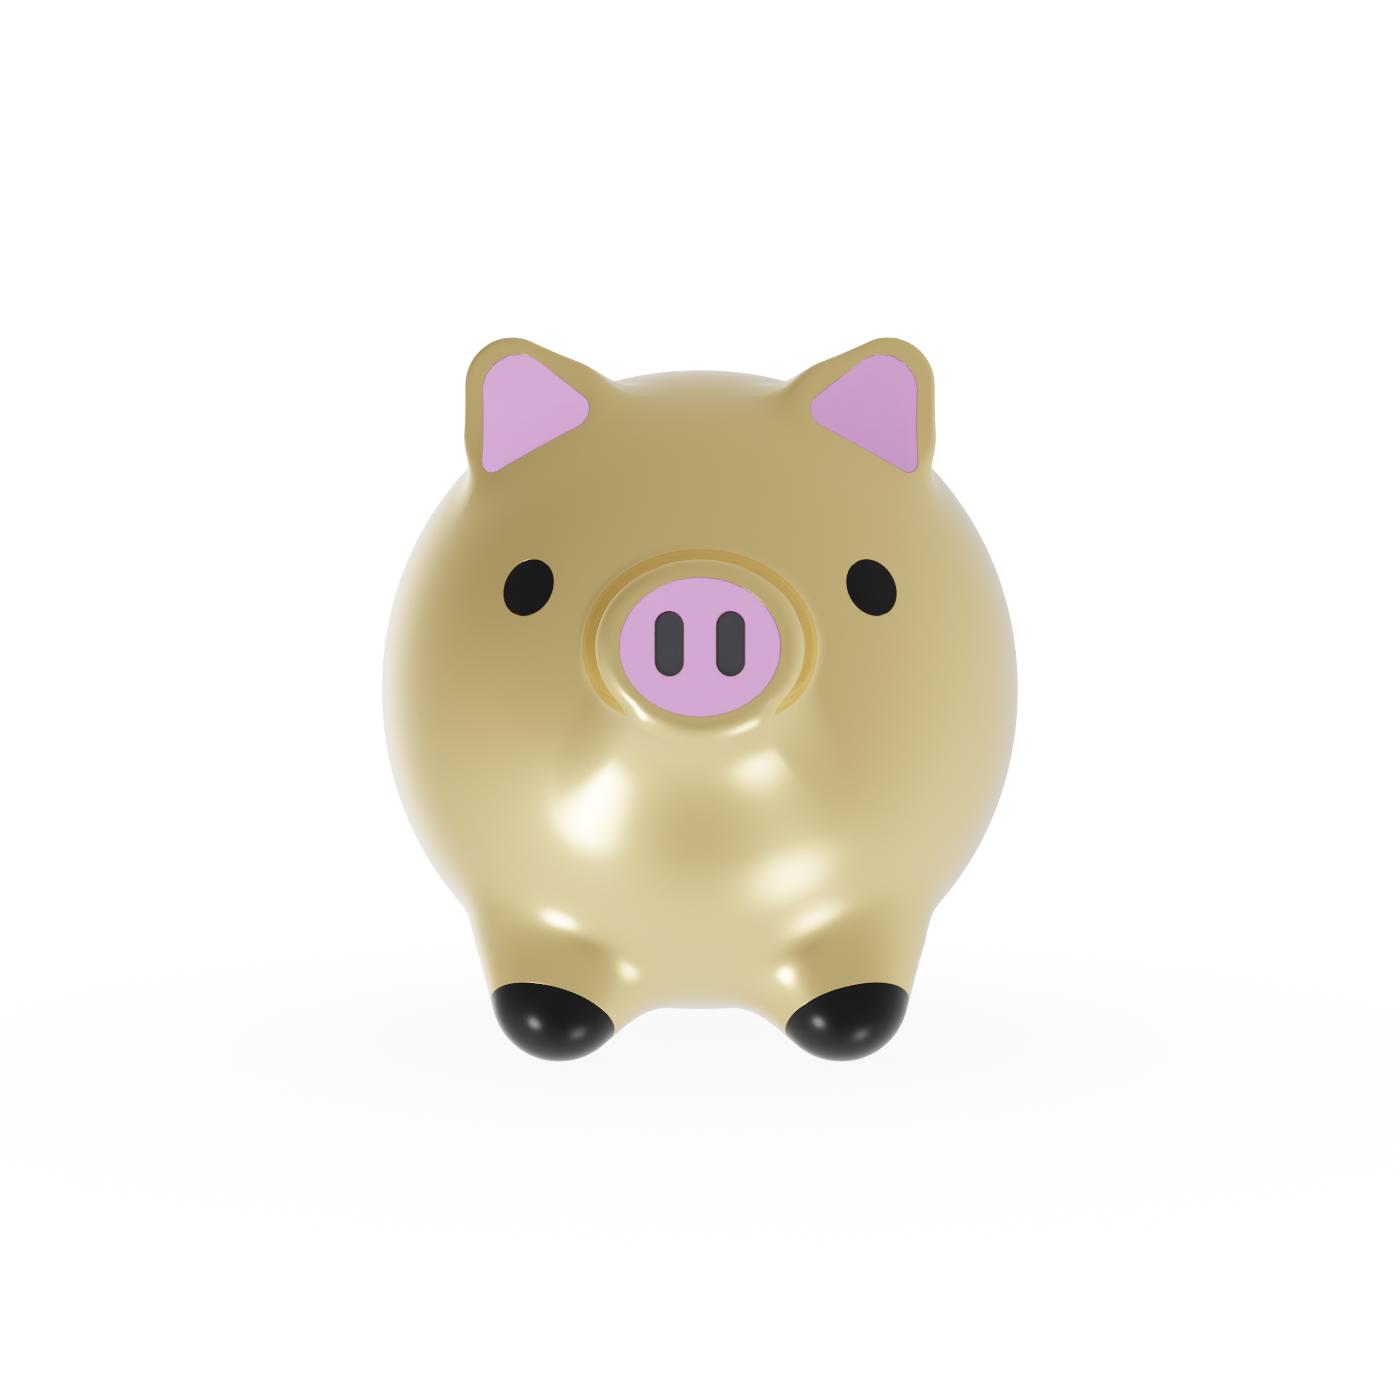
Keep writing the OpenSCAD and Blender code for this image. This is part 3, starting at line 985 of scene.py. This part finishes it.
def turned(corners, radii):
    """Points and faces of an outline revolved about the stopper's axis."""
    outline = rounded_outline(corners, [max(r, 1e-3) for r in radii], ROUND_POINTS)
    outline = [(max(r, 0), z) for r, z in outline]
    count = len(outline)
    p, faces = [], []
    for i in range(TURNED_SIDES):
        a = 2 * math.pi * i / TURNED_SIDES
        p += [(r * math.cos(a), RECESS_Y + r * math.sin(a), z) for r, z in outline]
        near, far = i * count, (i + 1) % TURNED_SIDES * count
        for j in range(count):
            k = (j + 1) % count
            if outline[j][0] + outline[k][0] > 0.01:
                faces.append((near + j, near + k, far + k, far + j))
    return p, faces


def tube_faces(rings, sides):
    """Faces of a closed tube through rings of points."""
    faces = []
    for i in range(rings - 1):
        for j in range(sides):
            a, b = i * sides + j, i * sides + (j + 1) % sides
            faces.append((a, b, b + sides, a + sides))
    last = (rings - 1) * sides
    faces.append(tuple(range(sides))[::-1])
    faces.append(tuple(last + j for j in range(sides)))
    return faces


def grip():
    """Finger web across the stopper's dish, flared where it joins the dish's wall."""
    middle = (GRIP_LOW + GRIP_HIGH) / 2
    tall = (GRIP_HIGH - GRIP_LOW) / 2
    square = [(-1, -tall), (1, -tall), (1, tall), (-1, tall)]
    p = []
    for s in np.linspace(-1, 1, GRIP_STATIONS):
        half = GRIP_HALF + GRIP_FLARE * abs(s) ** 8
        corners = [(u * half, v) for u, v in square]
        outline = rounded_outline(corners, [GRIP_EDGE] * 4, ROUND_POINTS)
        p += [(s * GRIP_REACH, RECESS_Y + u, middle + v) for u, v in outline]
    return p, tube_faces(GRIP_STATIONS, len(outline))


def make_stopper(material):
    p, faces = turned(STOPPER_CORNERS, STOPPER_RADII)
    more, extra = grip()
    faces += [tuple(len(p) + k for k in face) for face in extra]
    mesh_piece("stopper_plug", p + more, faces, material, "stopper",
               ["stopper"])


def make_ring(material):
    p, faces = turned(RING_CORNERS, RING_RADII)
    mesh_piece("stopper_seat_ring", p, faces, material, "bank",
               ["stopper_ring"])


# ---------------------------------------------------------------- tail
TAIL_RISE = math.radians(8)
CURL_R = 4.6
CURL_TURN = math.radians(430)
TAIL_R = 2.2
TAIL_TIP_R = 1.3
TAIL_LEN = 7.5
TAIL_RINGS = 150
TAIL_SIDES = 32
TAIL_FOOT = 1.5
TAIL_FLARE = 1.3
TAIL_TIP_FROM = 0.955
TAIL_ROOT = 60.0


def curl(t):
    """Point of the tail's middle line, in the frame of its root."""
    a = CURL_TURN * t ** 1.3
    out = BODY_HALF[2] + TAIL_LEN * t ** 0.6
    return np.array((CURL_R * math.sin(a), CURL_R * (1 - math.cos(a)), out))


def tail_width(t, out):
    """Radius of the tail, with a flared foot and a round tip."""
    r = TAIL_R + (TAIL_TIP_R - TAIL_R) * t
    foot = max(0, 1 - (out - BODY_HALF[2] + 0.5) / TAIL_FOOT)
    tip = max(0, (t - TAIL_TIP_FROM) / (1 - TAIL_TIP_FROM))
    return (r + TAIL_FLARE * foot ** 2) * math.sqrt(max(1e-6, 1 - tip ** 2))


def tail_ring(t):
    """Points round the tail at t, which is below 0 for the stub inside the shell."""
    on = max(t, 0)
    centre = curl(on) + np.array((0, 0, min(t, 0) * TAIL_ROOT))
    along = unit(curl(on + 0.002) - curl(on))
    inward = np.array((0, CURL_R, 0)) - (centre[0], centre[1], 0)
    side = unit(np.cross(along, inward))
    rise = np.cross(side, along)
    r = tail_width(on, centre[2])
    turns = [2 * math.pi * j / TAIL_SIDES for j in range(TAIL_SIDES)]
    return [centre + r * (math.cos(a) * side - math.sin(a) * rise) for a in turns]


def make_tail(material):
    right = np.array((-1.0, 0, 0))
    up = np.array((0, -math.sin(TAIL_RISE), math.cos(TAIL_RISE)))
    out = np.array((0, math.cos(TAIL_RISE), math.sin(TAIL_RISE)))
    root = np.stack((right, up, out))
    marks = np.concatenate([[-0.02, -0.01], np.linspace(0, 1, TAIL_RINGS) ** 1.5])
    p = [tuple(point @ root) for t in marks for point in tail_ring(t)]
    faces = tube_faces(len(marks), TAIL_SIDES)
    mesh_piece("curled_tail", p, faces, material, "bank", ["tail"])


# ---------------------------------------------------------------- materials
# Scales are in cycles for each metre, and heights in metres
HAZE_SCALE = 35
WIPE_SCALE = 420
WAVE_SCALE = 160
WAVE_HEIGHT = 6e-6
CLOUD_SCALE = 260
GRAIN_SCALE = 2400
GRAIN_HEIGHT = 2.2e-6
TURNING_SCALE = 900
TURNING_HEIGHT = 5e-6


def nodes_of(name):
    material = bpy.data.materials.new(name)
    material.use_nodes = True
    tree = material.node_tree
    return material, tree, tree.nodes["Principled BSDF"]


def noise(tree, scale, detail, rough=0.5, stretch=None):
    """Noise in the object's own coordinates."""
    place = tree.nodes.new("ShaderNodeTexCoord")
    texture = tree.nodes.new("ShaderNodeTexNoise")
    texture.inputs["Scale"].default_value = scale
    texture.inputs["Detail"].default_value = detail
    texture.inputs["Roughness"].default_value = rough
    source = place.outputs["Object"]
    if stretch:
        mapping = tree.nodes.new("ShaderNodeMapping")
        mapping.inputs["Scale"].default_value = stretch
        tree.links.new(source, mapping.inputs["Vector"])
        source = mapping.outputs["Vector"]
    tree.links.new(source, texture.inputs["Vector"])
    return texture.outputs["Fac"]


def ranged(tree, value, low, high, low_to, high_to):
    node = tree.nodes.new("ShaderNodeMapRange")
    node.inputs["From Min"].default_value = low
    node.inputs["From Max"].default_value = high
    node.inputs["To Min"].default_value = low_to
    node.inputs["To Max"].default_value = high_to
    tree.links.new(value, node.inputs["Value"])
    return node.outputs["Result"]


def bump(tree, shader, value, height):
    """Bump whose height is in metres."""
    node = tree.nodes.new("ShaderNodeBump")
    node.inputs["Strength"].default_value = 1.0
    node.inputs["Distance"].default_value = height
    tree.links.new(value, node.inputs["Height"])
    tree.links.new(node.outputs["Normal"], shader.inputs["Normal"])


def blend_colours(tree, value, first, second):
    node = tree.nodes.new("ShaderNodeMix")
    node.data_type = "RGBA"
    node.inputs[6].default_value = (*first, 1)
    node.inputs[7].default_value = (*second, 1)
    tree.links.new(value, node.inputs["Factor"])
    return node.outputs[2]


def gold():
    """Bright plating: slight waviness, faint haze and very fine wiping marks."""
    material, tree, shader = nodes_of("gold_plate")
    shader.inputs["Metallic"].default_value = 1.0
    haze = ranged(tree, noise(tree, HAZE_SCALE, 3), 0.35, 0.65, 0.0, 1.0)
    colour = blend_colours(tree, haze, GOLD, GOLD_HAZE)
    tree.links.new(colour, shader.inputs["Base Color"])
    marks = noise(tree, WIPE_SCALE, 4, 0.65, stretch=(1, 1, 6))
    rough = ranged(tree, marks, 0.3, 0.7, GOLD_ROUGH - 0.012, GOLD_ROUGH + 0.02)
    tree.links.new(rough, shader.inputs["Roughness"])
    bump(tree, shader, noise(tree, WAVE_SCALE, 2), WAVE_HEIGHT)
    return material


def moulded(name, colour, shade, rough, grain=GRAIN_HEIGHT, specular=0.5):
    """Moulded plastic: a fine even grain and slightly cloudy colour."""
    material, tree, shader = nodes_of(name)
    cloud = ranged(tree, noise(tree, CLOUD_SCALE, 4), 0.3, 0.7, 0.0, 1.0)
    tree.links.new(blend_colours(tree, cloud, colour, shade), shader.inputs["Base Color"])
    fine = noise(tree, GRAIN_SCALE, 3, 0.6)
    tree.links.new(ranged(tree, fine, 0.3, 0.7, rough - 0.04, rough + 0.04),
                   shader.inputs["Roughness"])
    shader.inputs["Specular IOR Level"].default_value = specular
    bump(tree, shader, fine, grain)
    return material


def steel():
    """Screw steel with turning marks."""
    material, tree, shader = nodes_of("screw_steel")
    shader.inputs["Metallic"].default_value = 1.0
    marks = noise(tree, TURNING_SCALE, 3, 0.6, stretch=(1, 1, 0.2))
    tree.links.new(blend_colours(tree, marks, STEEL, STEEL_MARK), shader.inputs["Base Color"])
    tree.links.new(ranged(tree, marks, 0.3, 0.7, 0.22, 0.36), shader.inputs["Roughness"])
    bump(tree, shader, marks, TURNING_HEIGHT)
    return material


GOLD = (0.975, 0.685, 0.275)
GOLD_HAZE = (0.965, 0.672, 0.266)
GOLD_ROUGH = 0.06
PINK = (0.86, 0.32, 0.82)
PINK_SHADE = (0.84, 0.31, 0.80)
BLACK = (0.0050, 0.0050, 0.0056)
BLACK_SHADE = (0.0042, 0.0042, 0.0048)
GREY = (0.036, 0.036, 0.041)
GREY_SHADE = (0.032, 0.032, 0.037)
RUBBER = (0.13, 0.13, 0.135)
RUBBER_SHADE = (0.11, 0.11, 0.116)
STEEL = (0.55, 0.55, 0.56)
STEEL_MARK = (0.42, 0.42, 0.44)


# ---------------------------------------------------------------- studio
CAMERA_AWAY = 370.0
CAMERA_BELOW = 1.92
LENS = 50
FLOOR_RINGS = (0.02, 0.08, 0.2, 0.5, 1.2, 4.0)
FLOOR_SIDES = 96
# Painted shadow on the floor: its glow is weaker out to the first radius and reaches the
# backdrop's white at the second
FLOOR_SHADOW_NEAR = 0.05
FLOOR_SHADOW_FAR = 0.22
FLOOR_PAINTED_SHADOW_GLOW = 5.0


def glow_total(tree):
    """Light from each direction: an even base and a few broad or narrow glows."""
    place = tree.nodes.new("ShaderNodeTexCoord").outputs["Generated"]
    total = None
    for azimuth, elevation, tight, strength in GLOWS:
        dot = tree.nodes.new("ShaderNodeVectorMath")
        dot.operation = "DOT_PRODUCT"
        dot.inputs[1].default_value = direction(azimuth, elevation)
        tree.links.new(place, dot.inputs[0])
        less = math_node(tree, "SUBTRACT", dot.outputs["Value"], 1.0)
        scaled = math_node(tree, "MULTIPLY", less, tight)
        glow = math_node(tree, "EXPONENT", scaled)
        amount = math_node(tree, "MULTIPLY", glow, strength)
        total = math_node(tree, "ADD", amount, BASE_LIGHT if total is None else total)
    return total


def studio_world():
    """Soft surroundings, which the camera itself sees as plain white."""
    world = bpy.data.worlds.new("studio")
    bpy.context.scene.world = world
    world.use_nodes = True
    tree = world.node_tree
    tree.nodes.clear()
    seen = tree.nodes.new("ShaderNodeBackground")
    seen.inputs["Strength"].default_value = BACKDROP
    lit = tree.nodes.new("ShaderNodeBackground")
    tree.links.new(glow_total(tree), lit.inputs["Strength"])
    path = tree.nodes.new("ShaderNodeLightPath")
    mix = tree.nodes.new("ShaderNodeMixShader")
    tree.links.new(path.outputs["Is Camera Ray"], mix.inputs[0])
    tree.links.new(lit.outputs[0], mix.inputs[1])
    tree.links.new(seen.outputs[0], mix.inputs[2])
    out = tree.nodes.new("ShaderNodeOutputWorld")
    tree.links.new(mix.outputs[0], out.inputs["Surface"])


def direction(azimuth, elevation):
    a, e = math.radians(azimuth), math.radians(elevation)
    return (math.cos(e) * math.sin(a), -math.cos(e) * math.cos(a), math.sin(e))


def math_node(tree, operation, first, second=None):
    node = tree.nodes.new("ShaderNodeMath")
    node.operation = operation
    for socket, value in zip(node.inputs, (first, second)):
        if value is None:
            continue
        if isinstance(value, (int, float)):
            socket.default_value = value
        else:
            tree.links.new(value, socket)
    return node.outputs[0]


BASE_LIGHT = 0.50
BACKDROP = 20.0
# Azimuth round from the camera to its right, elevation, tightness and strength
GLOWS = (
    (175, -15, 2, 0.72),
    (0, -90, 3.5, 0.5),
    (100, -5, 3, 0.36),
    (-80, -45, 5, 0.65),
    (50, 60, 3, 0.06),
    (0, 0, 2, 0.11),
    (-155, 0, 12, 1.8),
    (-95, 35, 5, -0.12),
    (110, -40, 6, 0.22),
    (-10, -45, 14, -0.25),
    (-49, -41, 140, 18.0),
    (-49, -41, 25, 1.1),
    (57, -60, 90, 4.6),
    (57, -60, 25, 0.6),
)
KEY_FROM = (-0.62, -0.9, 0.55)
KEY_SIZE = 0.5
KEY_POWER = 7.4


def make_key():
    """A broad soft lamp from the upper left that the bright plating doesn't mirror."""
    data = bpy.data.lights.new("key", "AREA")
    data.size = KEY_SIZE
    data.energy = KEY_POWER
    lamp = bpy.data.objects.new("key", data)
    lamp.location = KEY_FROM
    aim = Vector((0, 0, LIFT * MM)) - lamp.location
    lamp.rotation_euler = aim.to_track_quat("-Z", "Y").to_euler()
    lamp.visible_glossy = False
    bpy.context.collection.objects.link(lamp)


def make_camera():
    data = bpy.data.cameras.new("camera")
    data.lens = LENS
    data.clip_start = 0.01
    camera = bpy.data.objects.new("camera", data)
    camera.location = (0, -CAMERA_AWAY * MM, (LIFT - CAMERA_BELOW) * MM)
    camera.rotation_euler = (math.pi / 2, 0, 0)
    bpy.context.collection.objects.link(camera)
    bpy.context.scene.camera = camera


def floor_mesh():
    p = [(0, 0, 0)]
    faces = []
    for r in FLOOR_RINGS:
        for i in range(FLOOR_SIDES):
            a = 2 * math.pi * i / FLOOR_SIDES
            p.append((r * math.cos(a), r * math.sin(a), 0))
    for i in range(FLOOR_SIDES):
        j = (i + 1) % FLOOR_SIDES
        faces.append((0, 1 + i, 1 + j))
        for k in range(len(FLOOR_RINGS) - 1):
            a, b = 1 + k * FLOOR_SIDES, 1 + (k + 1) * FLOOR_SIDES
            faces.append((a + i, b + i, b + j, a + j))
    mesh = bpy.data.meshes.new("floor")
    mesh.from_pydata(p, [], faces)
    return mesh


def floor_material():
    """Pale and glowing, a little darker round the object as a painted shadow, and white further
    off.
    """
    material, tree, shader = nodes_of("floor")
    shader.inputs["Base Color"].default_value = (0.9, 0.9, 0.9, 1)
    shader.inputs["Roughness"].default_value = 0.9
    shader.inputs["Emission Color"].default_value = (1, 1, 1, 1)
    place = tree.nodes.new("ShaderNodeTexCoord").outputs["Object"]
    away = tree.nodes.new("ShaderNodeVectorMath")
    away.operation = "LENGTH"
    tree.links.new(place, away.inputs[0])
    # Glow rises from the painted shadow round the object to the backdrop's white further off
    glow = ranged(tree, away.outputs["Value"], FLOOR_SHADOW_NEAR, FLOOR_SHADOW_FAR, FLOOR_PAINTED_SHADOW_GLOW, BACKDROP)
    tree.links.new(glow, shader.inputs["Emission Strength"])
    return material


def make_floor():
    mesh = floor_mesh()
    mesh.materials.append(floor_material())
    floor = bpy.data.objects.new("floor", mesh)
    floor.visible_glossy = False
    floor.visible_diffuse = False
    floor.visible_shadow = False
    bpy.context.collection.objects.link(floor)


def colour_management():
    view = bpy.context.scene.view_settings
    view.view_transform = "Filmic"
    view.look = "Medium High Contrast"


# ---------------------------------------------------------------- the object
def main():
    colour_management()
    make_camera()
    make_floor()
    studio_world()
    make_key()
    plate = gold()
    pink = moulded("pink_plastic", PINK, PINK_SHADE, 0.42)
    black = moulded("black_plastic", BLACK, BLACK_SHADE, 0.16, specular=0.26)
    grey = moulded("grey_plastic", GREY, GREY_SHADE, 0.5)
    rubber = moulded("stopper_rubber", RUBBER, RUBBER_SHADE, 0.62, grain=5e-6)
    metal = steel()
    skin = make_outer_skin()
    cavity = make_inner_skin()
    for half in ENDS:
        make_shell(half, skin, cavity, plate)
    make_inlay(skin, "snout_disc", pink, DISC_DEPTH)
    for side in SIDES:
        make_inlay(skin, "ear_pad_" + side, pink, INLAY_DEPTH)
        make_inlay(skin, "eye_" + side, black, INLAY_DEPTH)
        make_inlay(skin, "nostril_" + side, grey,
                   DISC_DEPTH - NOSTRIL_SINK, NOSTRIL_SINK)
        for end in ENDS:
            make_hoof(skin, end, side, black)
    make_tail(plate)
    make_ring(black)
    make_stopper(rubber)
    for name in ("shell_screws", "hoof_screws"):
        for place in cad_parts[name].material_slots:
            place.material = metal


main()
